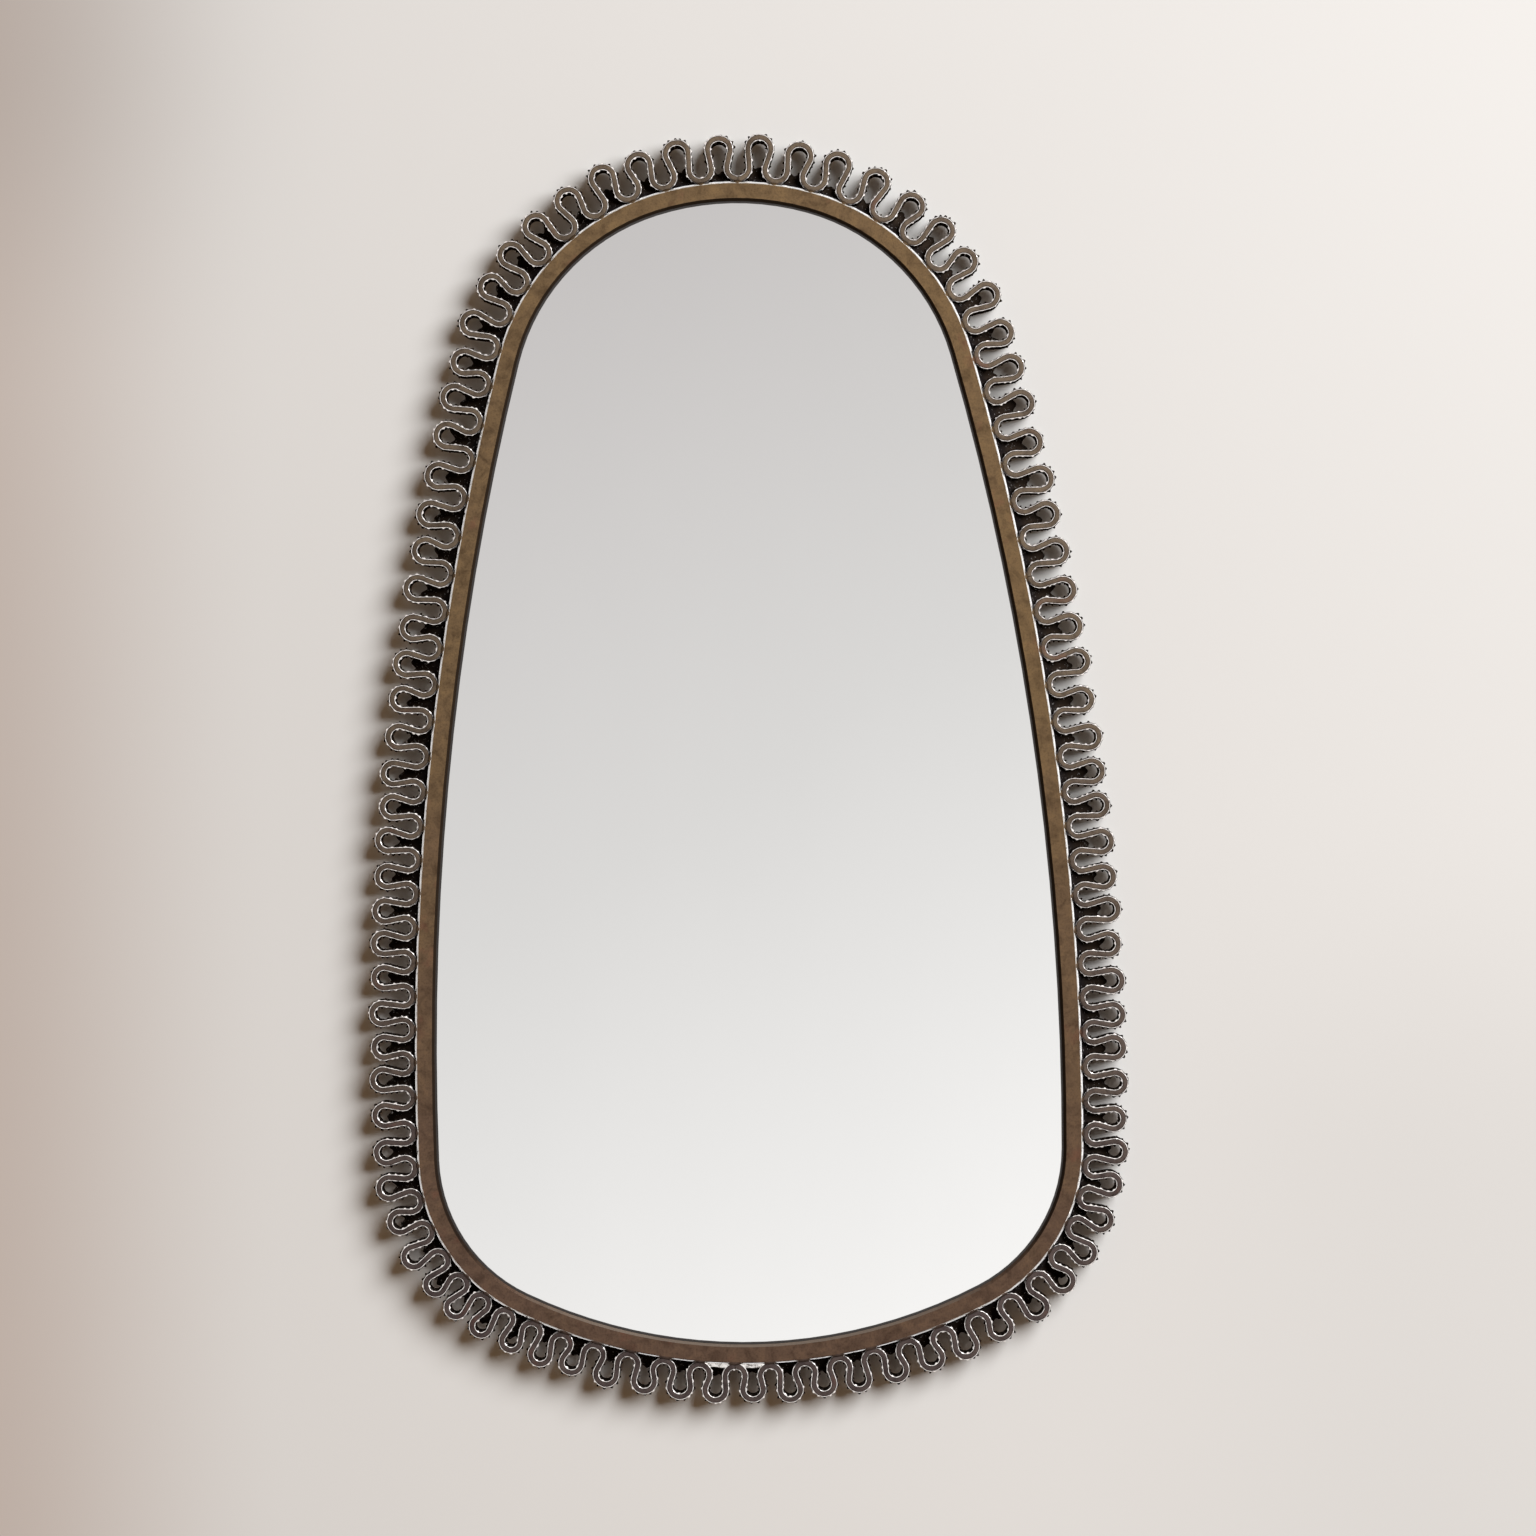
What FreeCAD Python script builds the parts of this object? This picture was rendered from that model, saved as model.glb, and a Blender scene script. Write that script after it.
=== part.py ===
import FreeCAD, Part
import math
import os

# Oval wall mirror: an egg-shaped glass in a flat brass rim, with a brass strip bent into loops round it.
# Millimetres. X runs to the right, Z up and Y from the viewer to the wall.
# The origin is the centre of the hanger's round hole, on the rear face of the hanger plate.

# Sight edge: tangent arcs down each side of the upright axis, each with a radius and a turn in degrees.
# The base arc takes up the rest of the half turn. The flank's radius makes up the height, and the base's
# radius closes the outline on the axis.
sight_height = 628.1
crown_radius = 145.0
crown_turn = 16.5
shoulder_radius = 114.0
shoulder_turn = 58.6
flank_turn = 16.1
hip_radius = 85.0
hip_turn = 62.5
hanger_below_crown = 75.0

# Rim: a face ring with a bevelled lip, soldered to the front edge of a side band
rim_width = 11.3
lip_set_back = 1.2
lip_bevel = 1.4
rim_edge_break = 0.5
face_thickness = 2.0
band_thickness = 1.5
recess_depth = 5.5

# Glass, with the packing in front of it and the felt and board behind it
glazing_thickness = 0.8
glazing_width = 6.0
glass_thickness = 4.0
glass_edge_gap = 1.0
felt_thickness = 1.2
board_thickness = 5.0

# Looped strip: flat bar on edge, bent by hand into necked loops and soldered to the rim between them.
# It comes in lengths of as many loops each, named clockwise from the crown, as many as the pitch gives.
# The loops are shorter at the base. They stand unevenly: the shift shares say how far clockwise of an
# even row, in pitches, at equal steps clockwise from the crown.
strip_names = ("top_right", "right", "bottom_right", "bottom_left", "left", "top_left")
loop_pitch = 20.0
strip_thickness = 4.0
strip_depth = 15.0
strip_set_back = 2.0
loop_reach = 26.8
base_shortening = 4.0
strand_lean = 10.4
head_share = 0.505
shift_shares = (
    0.2, 0.65, 0.85, 1.05, 1.15, 0.95,
    0.7, 0.4, 0.6, 0.55, 0.55, -0.1,
    -0.25, -0.55, -0.8, -0.7, -0.35, -0.15,
)
solder_gap = 0.05
butt_gap = 0.3

# Unevenness of the hand-bent loops: how far the heads sway and rise, and the degrees from loop to loop
loop_sway = 0.7
sway_step = 97.0
loop_rise = 0.6
rise_step = 151.0

# Fixing lugs soldered inside the band, each with a turn button that holds the board in
button_shares = (0.075, 0.245, 0.405, 0.595, 0.755, 0.925)
lug_width = 10.0
lug_reach = 9.5
lug_gap = 0.3
notch_gap = 0.6
notch_corner = 2.5
button_thickness = 1.2
hub_radius = 3.8
tip_radius = 2.6
arm_length = 10.0
slide_gap = 0.15

# Button screws
button_screw_radius = 1.5
running_clearance = 0.05
button_head_radius = 2.9
button_head_height = 1.8

# Hanger plate with its keyhole, and the pocket in the board for the head of a wall screw
plate_width = 26.0
plate_above = 28.0
plate_below = 21.0
plate_corner = 5.0
plate_thickness = 1.5
keyhole_radius = 4.5
slot_radius = 2.3
slot_rise = 11.0
pocket_margin = 1.2
pocket_depth = 4.0

# Hanger screws
hanger_screw_inset = 6.5
hanger_screw_radius = 1.75
hanger_screw_length = 4.0
hanger_head_radius = 3.4
hanger_head_height = 1.6

# Slots and edges of the screw heads
head_edge_break = 0.5
driver_slot_width = 0.9
driver_slot_depth = 0.9

overrun = 1.0
match_tolerance = 0.001

# Places along Y, from the wall to the front
wall_plane = recess_depth
board_rear = -plate_thickness
board_front = board_rear - board_thickness
felt_front = board_front - felt_thickness
glass_front = felt_front - glass_thickness
face_rear = glass_front - glazing_thickness
face_front = face_rear - face_thickness
strip_front = face_front + strip_set_back
lug_front = board_front + lug_gap
button_front = board_rear + slide_gap
button_rear = button_front + button_thickness

# Distances outward from the sight edge
band_inside = rim_width - band_thickness
glass_edge = band_inside - glass_edge_gap
loop_middle = rim_width + loop_reach / 2

pivot_inset = lug_reach / 2
along_y = FreeCAD.Vector(0, 1, 0)


def outward(heading):
    """Outward direction where the outline, followed clockwise, has this heading."""
    return FreeCAD.Vector(math.sin(heading), 0, math.cos(heading))


def trace_outline():
    """Centre, radius, first and last heading of each arc of the sight edge, clockwise from the crown."""
    headings = [0]
    for turn in (crown_turn, shoulder_turn, flank_turn, hip_turn):
        headings.append(headings[-1] + math.radians(turn))
    headings.append(math.pi)
    spans = list(zip(headings, headings[1:]))
    # Width and drop that each arc brings per unit of its radius
    widths = [math.sin(last) - math.sin(first) for first, last in spans]
    drops = [math.cos(first) - math.cos(last) for first, last in spans]
    # The same height with the part of the base arc that takes the width back to the axis
    heights = [drop - width * drops[-1] / widths[-1] for width, drop in zip(widths, drops)]
    flank_height = sight_height - crown_radius * heights[0] - shoulder_radius * heights[1]
    flank_radius = (flank_height - hip_radius * heights[3]) / heights[2]
    radii = [crown_radius, shoulder_radius, flank_radius, hip_radius]
    base_half_width = sum(radius * width for radius, width in zip(radii, widths))
    radii.append(-base_half_width / widths[-1])
    right = [(radius, first, last) for radius, (first, last) in zip(radii, spans)]
    left = [(radius, 2 * math.pi - last, 2 * math.pi - first) for radius, first, last in reversed(right)]
    arcs = []
    point = FreeCAD.Vector(0, 0, hanger_below_crown)
    for radius, first, last in right + left:
        centre = point - outward(first) * radius
        point = centre + outward(last) * radius
        arcs.append((centre, radius, first, last))
    return arcs


outline = trace_outline()


def outline_length(offset):
    """Length round the outline, grown outward by an offset."""
    return sum((radius + offset) * (last - first) for centre, radius, first, last in outline)


loops_per_strip = round(outline_length(loop_middle) / loop_pitch / len(strip_names))
loop_count = loops_per_strip * len(strip_names)


def station(share, offset):
    """Point and heading at a share of the way round the outline, grown outward by an offset."""
    length = share * outline_length(offset)
    for centre, radius, first, last in outline[:-1]:
        run = (radius + offset) * (last - first)
        if length < run:
            break
        length -= run
    else:
        centre, radius, first, last = outline[-1]
    heading = first + length / (radius + offset)
    return centre + outward(heading) * (radius + offset), heading


def plate(offset, front, rear):
    """Slab of the outline, grown outward by an offset, between two places along Y."""
    edges = []
    for centre, radius, first, last in outline:
        middle = (first + last) / 2
        points = [centre + outward(heading) * (radius + offset) for heading in (first, middle, last)]
        edges.append(Part.Arc(*points).toShape())
    face = Part.Face(Part.Wire(edges))
    face.translate(along_y * front)
    return face.extrude(along_y * (rear - front)).removeSplitter()


def edges_at(shape, place):
    """Edges of a shape that lie in the plane at a place along Y."""
    boxes = [(edge, edge.BoundBox) for edge in shape.Edges]
    return [
        edge
        for edge, box in boxes
        if max(abs(box.YMin - place), abs(box.YMax - place)) < match_tolerance
    ]


def bar(radius, front, rear, x, z):
    """Round bar along Y."""
    return Part.makeCylinder(radius, rear - front, FreeCAD.Vector(x, front, z), along_y)


def block(left, right, front, rear, low, high):
    """Box between limits along X, Y and Z."""
    return Part.makeBox(right - left, rear - front, high - low, FreeCAD.Vector(left, front, low))


def round_corners(shape, radius, corners):
    """Rounds the edges along Y that stand at the given corners, each an X and a Z."""
    edges = []
    for edge in shape.Edges:
        box = edge.BoundBox
        upright = max(box.XLength, box.ZLength) < match_tolerance
        if upright and any(math.hypot(box.XMin - x, box.ZMin - z) < match_tolerance for x, z in corners):
            edges.append(edge)
    return shape.makeFillet(radius, edges)


def seated(shape, share):
    """Copy of a shape drawn with X along the band and Z outward, set on the inside of the band."""
    point, heading = station(share, band_inside)
    copy = shape.copy()
    copy.Placement = FreeCAD.Placement(point, FreeCAD.Rotation(along_y, math.degrees(heading)))
    return copy


def mirror_glass():
    return plate(glass_edge, glass_front, felt_front)


def glazing_strip():
    """Dark packing between the glass and the lip, just in sight inside the lip."""
    opening = plate(0, face_rear - overrun, glass_front + overrun)
    return plate(glazing_width, face_rear, glass_front).cut(opening)


def face_ring():
    """Flat front ring with a bevel down to the glass and a broken outer edge."""
    ring = plate(rim_width, face_front, face_rear)
    ring = ring.makeChamfer(rim_edge_break, edges_at(ring, face_front))
    bevel_end = face_front + lip_bevel
    plug = plate(lip_set_back + lip_bevel, face_front - overrun, bevel_end)
    plug = plug.makeChamfer(lip_bevel, edges_at(plug, bevel_end))
    opening = plate(lip_set_back, face_front - overrun, face_rear + overrun)
    return ring.cut(plug).cut(opening)


def side_band():
    """Deep band on edge behind the face ring, whose rear edge meets the wall."""
    inside = plate(band_inside, face_rear - overrun, wall_plane + overrun)
    return plate(rim_width, face_rear, wall_plane).cut(inside)


def backing_felt():
    return plate(glass_edge, felt_front, board_front)


def backing_board():
    """Board with a notch round each lug, where a turned button clears it, and the hanger's pocket."""
    board = plate(glass_edge, board_front, board_rear)
    half_notch = arm_length + tip_radius + notch_gap
    floor = -lug_reach - notch_gap
    notch = block(-half_notch, half_notch, board_front - overrun, board_rear + overrun, floor, overrun)
    notch = round_corners(notch, notch_corner, ((-half_notch, floor), (half_notch, floor)))
    for share in button_shares:
        board = board.cut(seated(notch, share))
    pocket_radius = keyhole_radius + pocket_margin
    board = board.cut(keyhole(pocket_radius, pocket_radius, board_rear - pocket_depth, board_rear + overrun))
    for z in hanger_screw_places():
        board = board.cut(bar(hanger_screw_radius, board_rear - hanger_screw_length, overrun, 0, z))
    return board


def loop_share(position):
    """Share of the way round at which a position along the row of loops stands."""
    place = position * len(shift_shares) / loop_count
    index = math.floor(place)
    late = place - index
    before, start, end, after = [shift_shares[(index + step) % len(shift_shares)] for step in (-1, 0, 1, 2)]
    slope = (end - before) / 2
    next_slope = (after - start) / 2
    # Cubic curve through the table's values, with a slope at each that its neighbours give
    shift = start + late * slope
    shift += late**2 * (3 * (end - start) - 2 * slope - next_slope)
    shift += late**3 * (2 * (start - end) + slope + next_slope)
    return (position + shift) / loop_count


def loop_sizes(position):
    """Reach of the loops at a position, and the centreline radii of their heads and feet.

    The two radii together give the strands their lean at the pitch found there.
    """
    turn = 2 * math.pi * position / loop_count
    reach = loop_reach - base_shortening * ((1 - math.cos(turn)) / 2) ** 4
    pitch_share = loop_share(position + 1 / 2) - loop_share(position - 1 / 2)
    half_pitch = pitch_share * outline_length(loop_middle) / 2
    lean = math.radians(strand_lean)
    rise = (reach - strip_thickness) * math.sin(lean)
    both = (half_pitch * math.cos(lean) + rise) / (1 + math.sin(lean))
    return reach, both * head_share, both * (1 - head_share)


def bend(position):
    """Centre, sense of turn, radius and heading of a bend: a foot on a whole position, a head on a half."""
    point, heading = station(loop_share(position), loop_middle)
    reach, head_radius, foot_radius = loop_sizes(position)
    if position == int(position):
        rise = rim_width + solder_gap + strip_thickness / 2 + foot_radius
        return point + outward(heading) * (rise - loop_middle), 1, foot_radius, heading
    rise = rim_width + reach - strip_thickness / 2 - head_radius
    rise += loop_rise * math.sin(math.radians(rise_step) * position)
    sway = loop_sway * math.sin(math.radians(sway_step) * position)
    along = outward(heading + math.pi / 2)
    return point + outward(heading) * (rise - loop_middle) + along * sway, -1, head_radius, heading


def strand_angle(start, end):
    """Angle of the straight strand that runs off one bend and on to the next."""
    centre, sense, radius, heading = start
    next_centre, next_sense, next_radius, next_heading = end
    run = next_centre - centre
    level = -(heading + next_heading) / 2
    climb = math.remainder(math.atan2(run.z, run.x) - level, 2 * math.pi)
    return level + climb + sense * math.asin((radius + next_radius) / run.Length)


def strip_point(bend_values, angle, offset):
    """Point of a bend where the strip runs at an angle, set off to the left of the strip's middle."""
    centre, sense, radius, heading = bend_values
    left = FreeCAD.Vector(-math.sin(angle), 0, math.cos(angle))
    return centre + left * (offset - sense * radius)


def strip_side(bends, angles, offset):
    """Edges of one long side of the strip: an arc for each bend and a line for each strand."""
    edges = []
    end = None
    for bend_values, entry, leave in zip(bends, angles, angles[1:]):
        middle = (entry + leave) / 2
        points = [strip_point(bend_values, angle, offset) for angle in (entry, middle, leave)]
        if end:
            edges.append(Part.LineSegment(end, points[0]).toShape())
        edges.append(Part.Arc(*points).toShape())
        end = points[-1]
    return edges


def loop_strip(first, last):
    """Length of strip between two bends at the rim, cut off square in the middle of each."""
    bends = [bend(first + step / 2) for step in range(2 * (last - first) + 1)]
    cut_turn = butt_gap / (2 * bends[0][2])
    angles = [cut_turn - bends[0][3]]
    angles += [strand_angle(start, end) for start, end in zip(bends, bends[1:])]
    angles.append(-cut_turn - bends[-1][3])
    half = strip_thickness / 2
    edges = strip_side(bends, angles, half) + strip_side(bends, angles, -half)
    for index in (0, -1):
        ends = [strip_point(bends[index], angles[index], offset) for offset in (-half, half)]
        edges.append(Part.LineSegment(*ends).toShape())
    face = Part.Face(Part.Wire(Part.sortEdges(edges)[0]))
    face.translate(along_y * strip_front)
    return face.extrude(along_y * strip_depth)


def fixing_lugs():
    """Small blocks soldered inside the band, each tapped for a button screw."""
    half_width = lug_width / 2
    lug = block(-half_width, half_width, lug_front, board_rear, -lug_reach, overrun)
    lug = lug.cut(bar(button_screw_radius, lug_front - overrun, board_rear + overrun, 0, -pivot_inset))
    inside = plate(band_inside, lug_front - overrun, board_rear + overrun)
    return Part.makeCompound([seated(lug, share).common(inside).Solids[0] for share in button_shares])


def turn_button(share):
    """Flat latch that tapers from its pivot to a rounded tip over the board."""
    flare = math.asin((hub_radius - tip_radius) / arm_length)
    rounds = []
    ends = (
        (hub_radius, -pivot_inset, hub_radius),
        (tip_radius, -pivot_inset - arm_length, -tip_radius),
    )
    for radius, place, far in ends:
        side = radius * math.cos(flare)
        drop = place - radius * math.sin(flare)
        left = FreeCAD.Vector(-side, button_front, drop)
        right = FreeCAD.Vector(side, button_front, drop)
        rounds.append((left, FreeCAD.Vector(0, button_front, place + far), right))
    (hub_left, hub_top, hub_right), (tip_left, tip_end, tip_right) = rounds
    edges = [
        Part.Arc(hub_left, hub_top, hub_right).toShape(),
        Part.LineSegment(hub_right, tip_right).toShape(),
        Part.Arc(tip_right, tip_end, tip_left).toShape(),
        Part.LineSegment(tip_left, hub_left).toShape(),
    ]
    button = Part.Face(Part.Wire(edges)).extrude(along_y * button_thickness)
    hole_radius = button_screw_radius + running_clearance
    button = button.cut(bar(hole_radius, button_front - overrun, button_rear + overrun, 0, -pivot_inset))
    return seated(button, share)


def screw(shank_radius, shank_front, head_front, head_radius, head_height, z):
    """Slotted pan-head screw along Y."""
    head_rear = head_front + head_height
    head = bar(head_radius, head_front, head_rear, 0, z)
    head = head.makeChamfer(head_edge_break, edges_at(head, head_rear))
    half_slot = driver_slot_width / 2
    slot_front = head_rear - driver_slot_depth
    slot = block(-head_radius, head_radius, slot_front, head_rear + overrun, z - half_slot, z + half_slot)
    return head.cut(slot).fuse(bar(shank_radius, shank_front, head_front, 0, z))


def button_screws():
    sizes = (button_screw_radius, lug_front, button_rear + slide_gap, button_head_radius, button_head_height)
    one = screw(*sizes, -pivot_inset)
    return Part.makeCompound([seated(one, share) for share in button_shares])


def keyhole(round_radius, neck_radius, front, rear):
    """Round hole with a narrower slot rising out of it."""
    neck = block(-neck_radius, neck_radius, front, rear, 0, slot_rise)
    top = bar(neck_radius, front, rear, 0, slot_rise)
    return bar(round_radius, front, rear, 0, 0).fuse([neck, top]).removeSplitter()


def hanger_screw_places():
    """Heights of the two hanger screws."""
    return plate_above - hanger_screw_inset, hanger_screw_inset - plate_below


def hanger_plate():
    half_width = plate_width / 2
    corners = [(x, z) for x in (-half_width, half_width) for z in (-plate_below, plate_above)]
    body = block(-half_width, half_width, board_rear, 0, -plate_below, plate_above)
    body = round_corners(body, plate_corner, corners)
    body = body.cut(keyhole(keyhole_radius, slot_radius, board_rear - overrun, overrun))
    for z in hanger_screw_places():
        body = body.cut(bar(hanger_screw_radius, board_rear - overrun, overrun, 0, z))
    return body


def hanger_screws():
    tip = board_rear - hanger_screw_length
    sizes = (hanger_screw_radius, tip, 0, hanger_head_radius, hanger_head_height)
    return Part.makeCompound([screw(*sizes, z) for z in hanger_screw_places()])


def main():
    nodes = {
        "mirror_glass": mirror_glass(),
        "glazing_strip": glazing_strip(),
        "face_ring": face_ring(),
        "side_band": side_band(),
        "backing_felt": backing_felt(),
        "backing_board": backing_board(),
        "fixing_lugs": fixing_lugs(),
        "button_screws": button_screws(),
        "hanger_plate": hanger_plate(),
        "hanger_screws": hanger_screws(),
    }
    for index, name in enumerate(strip_names):
        first = index * loops_per_strip
        nodes["loop_strip_" + name] = loop_strip(first, first + loops_per_strip)
    for number, share in enumerate(button_shares, 1):
        nodes[f"turn_button_{number}"] = turn_button(share)
    os.makedirs("parts", exist_ok=True)
    for name, shape in nodes.items():
        shape.exportStep(f"parts/{name}.step")
    whole = Part.makeCompound(list(nodes.values())).BoundBox
    print(f"{len(nodes)} nodes, {whole.XLength:.1f} wide, {whole.YLength:.1f} deep, {whole.ZLength:.1f} high")


main()
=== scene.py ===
import math
import random

import bmesh
import bpy
from mathutils import Matrix, Vector
from mathutils.bvhtree import BVHTree
from mathutils.geometry import interpolate_bezier
from mathutils.kdtree import KDTree


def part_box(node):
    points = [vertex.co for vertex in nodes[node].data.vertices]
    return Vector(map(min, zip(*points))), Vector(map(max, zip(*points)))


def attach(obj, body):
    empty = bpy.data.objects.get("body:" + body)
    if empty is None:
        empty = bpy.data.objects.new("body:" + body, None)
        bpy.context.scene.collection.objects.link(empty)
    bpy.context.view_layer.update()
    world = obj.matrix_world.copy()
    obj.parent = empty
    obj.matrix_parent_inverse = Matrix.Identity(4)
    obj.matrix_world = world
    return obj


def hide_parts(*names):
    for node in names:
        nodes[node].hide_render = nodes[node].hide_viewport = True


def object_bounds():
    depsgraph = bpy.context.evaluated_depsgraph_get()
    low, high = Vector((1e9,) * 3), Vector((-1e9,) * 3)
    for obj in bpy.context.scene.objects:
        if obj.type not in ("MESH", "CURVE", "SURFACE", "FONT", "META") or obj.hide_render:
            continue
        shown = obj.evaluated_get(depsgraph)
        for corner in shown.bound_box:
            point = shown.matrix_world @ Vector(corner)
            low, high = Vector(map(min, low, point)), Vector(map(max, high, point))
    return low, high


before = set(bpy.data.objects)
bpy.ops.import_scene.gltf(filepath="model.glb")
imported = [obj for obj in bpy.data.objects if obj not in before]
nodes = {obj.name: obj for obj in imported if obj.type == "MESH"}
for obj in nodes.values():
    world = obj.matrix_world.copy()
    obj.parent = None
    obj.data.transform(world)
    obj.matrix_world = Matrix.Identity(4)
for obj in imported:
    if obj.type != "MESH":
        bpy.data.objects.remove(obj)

cad_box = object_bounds()
scene = bpy.context.scene

# Metres, in the frame's axes: X to the right, Z up and Y from the viewer to the wall
MM = 0.001
WHITE = (1.0, 1.0, 1.0)
BLACK = (0.0, 0.0, 0.0)

# Camera and wall, from the photograph: its square frame is 846.6 mm wide at the mirror, whose top leans
# 1.13 degrees to the left
FRAME_WIDTH = 846.6 * MM
FRAME_CENTRE = Vector((13.9, -13.0, -236.8)) * MM
CAMERA_DISTANCE = 2.8
CAMERA_ROLL = math.radians(-1.129)
SENSOR_WIDTH = 36.0
WALL_PLACE = 5.6 * MM
WALL_SIDE = 6.0

# Lamps: a large one in front, at the upper right, and a small one behind
KEY_PLACE = (2.2, -3.0, 1.4)
KEY_SIDE = 3.0
KEY_POWER = 205.0
KEY_COLOUR = (0.965, 0.985, 1.0)
REAR_PLACE = (-1.3, 1.8, 0.7)
REAR_SIDE = 1.2
REAR_POWER = 40.0
REAR_COLOUR = (1.0, 0.99, 0.97)

# Middle of the rim, and the heights between which bright edges fade out towards the base
RIM_CENTRE = Vector((0.0, 0.0, -0.24))
BASE_FADE = (-0.556, -0.535)

# Values between which most of a noise lies, their middle, and those between which it breaks a bright line
NOISE_RANGE = (0.3, 0.7)
NOISE_MIDDLE = 0.5
LINE_BREAKS = (0.3, 0.42)


class Graph:
    """Node tree of one material or of the world, built by short calls."""

    # Inputs of the mix node that take its share and its two colours, and the output that gives the colour
    MIX_INPUTS = (0, 6, 7)
    MIX_OUTPUT = 2

    def __init__(self, tree):
        self.tree = tree
        self.tree.nodes.clear()

    def feed(self, socket, value):
        """Links a socket to another one, or sets its value."""
        if isinstance(value, bpy.types.NodeSocket):
            self.tree.links.new(value, socket)
        else:
            socket.default_value = value

    def add(self, kind, inputs=None, **settings):
        node = self.tree.nodes.new("ShaderNode" + kind)
        for key, value in settings.items():
            setattr(node, key, value)
        for key, value in (inputs or {}).items():
            self.feed(node.inputs[key], value)
        return node

    def math(self, operation, first, second=0.0, clamp=False):
        return self.add("Math", {0: first, 1: second}, operation=operation, use_clamp=clamp).outputs[0]

    def times(self, first, second):
        return self.math("MULTIPLY", first, second)

    def plus(self, first, second, clamp=False):
        return self.math("ADD", first, second, clamp)

    def minus(self, first, second):
        return self.math("SUBTRACT", first, second)

    def blend(self, first, first_share, second, second_share):
        return self.plus(self.times(first, first_share), self.times(second, second_share))

    def vector_math(self, operation, *values):
        node = self.add("VectorMath", dict(enumerate(values)), operation=operation)
        return node.outputs["Value" if operation == "DOT_PRODUCT" else "Vector"]

    def parts(self, vector):
        return self.add("SeparateXYZ", {"Vector": vector}).outputs

    def object_place(self):
        return self.add("TexCoord").outputs["Object"]

    def facet_normal(self):
        return self.add("NewGeometry").outputs["True Normal"]

    def noise(self, place, scale, detail=4.0, roughness=0.55, distortion=0.0):
        inputs = {
            "Vector": place,
            "Scale": scale,
            "Detail": detail,
            "Roughness": roughness,
            "Distortion": distortion,
        }
        return self.add("TexNoise", inputs).outputs["Fac"]

    def span(self, value, low, high, to_low=0.0, to_high=1.0, smooth=True):
        kind = "SMOOTHSTEP" if smooth else "LINEAR"
        inputs = {"Value": value, "From Min": low, "From Max": high, "To Min": to_low, "To Max": to_high}
        return self.add("MapRange", inputs, interpolation_type=kind).outputs["Result"]

    def vary(self, noise, low, high):
        """Value between two others that follows a noise."""
        return self.span(noise, *NOISE_RANGE, low, high, smooth=False)

    def mix(self, share, first, second, blend="MIX"):
        node = self.add("Mix", data_type="RGBA", blend_type=blend)
        for index, value in zip(self.MIX_INPUTS, (share, first, second)):
            self.feed(node.inputs[index], (*value, 1.0) if isinstance(value, tuple) else value)
        return node.outputs[self.MIX_OUTPUT]

    def tint(self, first, second):
        return self.mix(1.0, first, second, "MULTIPLY")

    def ramp(self, value, stops):
        node = self.add("ValToRGB", {"Fac": value})
        elements = node.color_ramp.elements
        while len(elements) < len(stops):
            elements.new(0.5)
        for element, (place, colour) in zip(elements, stops):
            element.position = place
            element.color = (*colour, 1.0)
        return node.outputs["Color"]

    def bump(self, height, strength, distance):
        inputs = {"Height": height, "Strength": strength, "Distance": distance}
        return self.add("Bump", inputs).outputs["Normal"]

    def surface(self, inputs):
        shader = self.add("BsdfPrincipled", inputs)
        self.add("OutputMaterial", {"Surface": shader.outputs["BSDF"]})


def new_material(name):
    material = bpy.data.materials.new(name)
    material.use_nodes = True
    return material, Graph(material.node_tree)


# Brass: the heights between which its lower tone, darker as painted shade, turns into its upper one, how
# far that turn wanders, factors of its colour at values of two noises, and a reddish blush
SHADE_HEIGHTS = (-0.52, -0.2)
SHADE_SWAY = 0.9
BRASS_CLOUDS = ((0.3, (0.66, 0.64, 0.64)), (0.5, WHITE), (0.72, (1.28, 1.26, 1.18)))
BRASS_SPECKS = ((0.3, (0.74, 0.72, 0.7)), (0.48, WHITE), (0.7, (1.1, 1.09, 1.05)))
BLUSH = (0.13, 0.05, 0.034)
BLUSH_BEGINS = (0.6, 0.72)
BLUSH_SHARE = 0.35
BRASS_METAL = 0.92
BRASS_ROUGHNESS = (0.38, 0.56)

# Worn brass: how squarely a facet faces the viewer, from 0 on a side to 1 on the flat, where each kind of
# facet begins and ends, and the changes that dirt, painted shade and rubbing make
EDGE_BEGINS = (0.58, 0.66)
EDGE_ENDS = (0.93, 0.88)
GROOVE_BEGINS = (0.93, 0.96)
GROOVE_ENDS = (0.9985, 0.994)
SIDE_ENDS = (0.62, 0.5)
GROOVE_DIRT = (0.02, 0.0145, 0.0125)
GROOVE_DIRT_SHARE = 0.8
RUBBED_SMOOTHNESS = 0.16
SOILED_AND_SHADED_ROUGHNESS = 0.3
SOILED_AND_SHADED_LIMIT = 0.9

# Rim: its tint from the left to the right flank, painted light that lifts the left flank most, where a bevel
# turns from inner to outer, and how steeply the lip's bevel faces up where its painted shade ends and where
# it takes painted light
FLANKS = (-0.2, 0.2)
FLANK_PAINTED_LIGHT = ((0.0, (1.14, 1.14, 1.15)), (1.0, (1.03, 1.02, 0.99)))
OUTER_BEGINS = (-10.0 * MM, 10.0 * MM)
LIP_SHADE = (0.016, 0.011, 0.008)
LIP_SHADE_ENDS = (0.35, 0.66)
LIP_SHADE_LEAST = 0.1
LIT_LIP = (0.17, 0.132, 0.105)
LIT_LIP_BEGINS = (0.6, 0.69)
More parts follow.
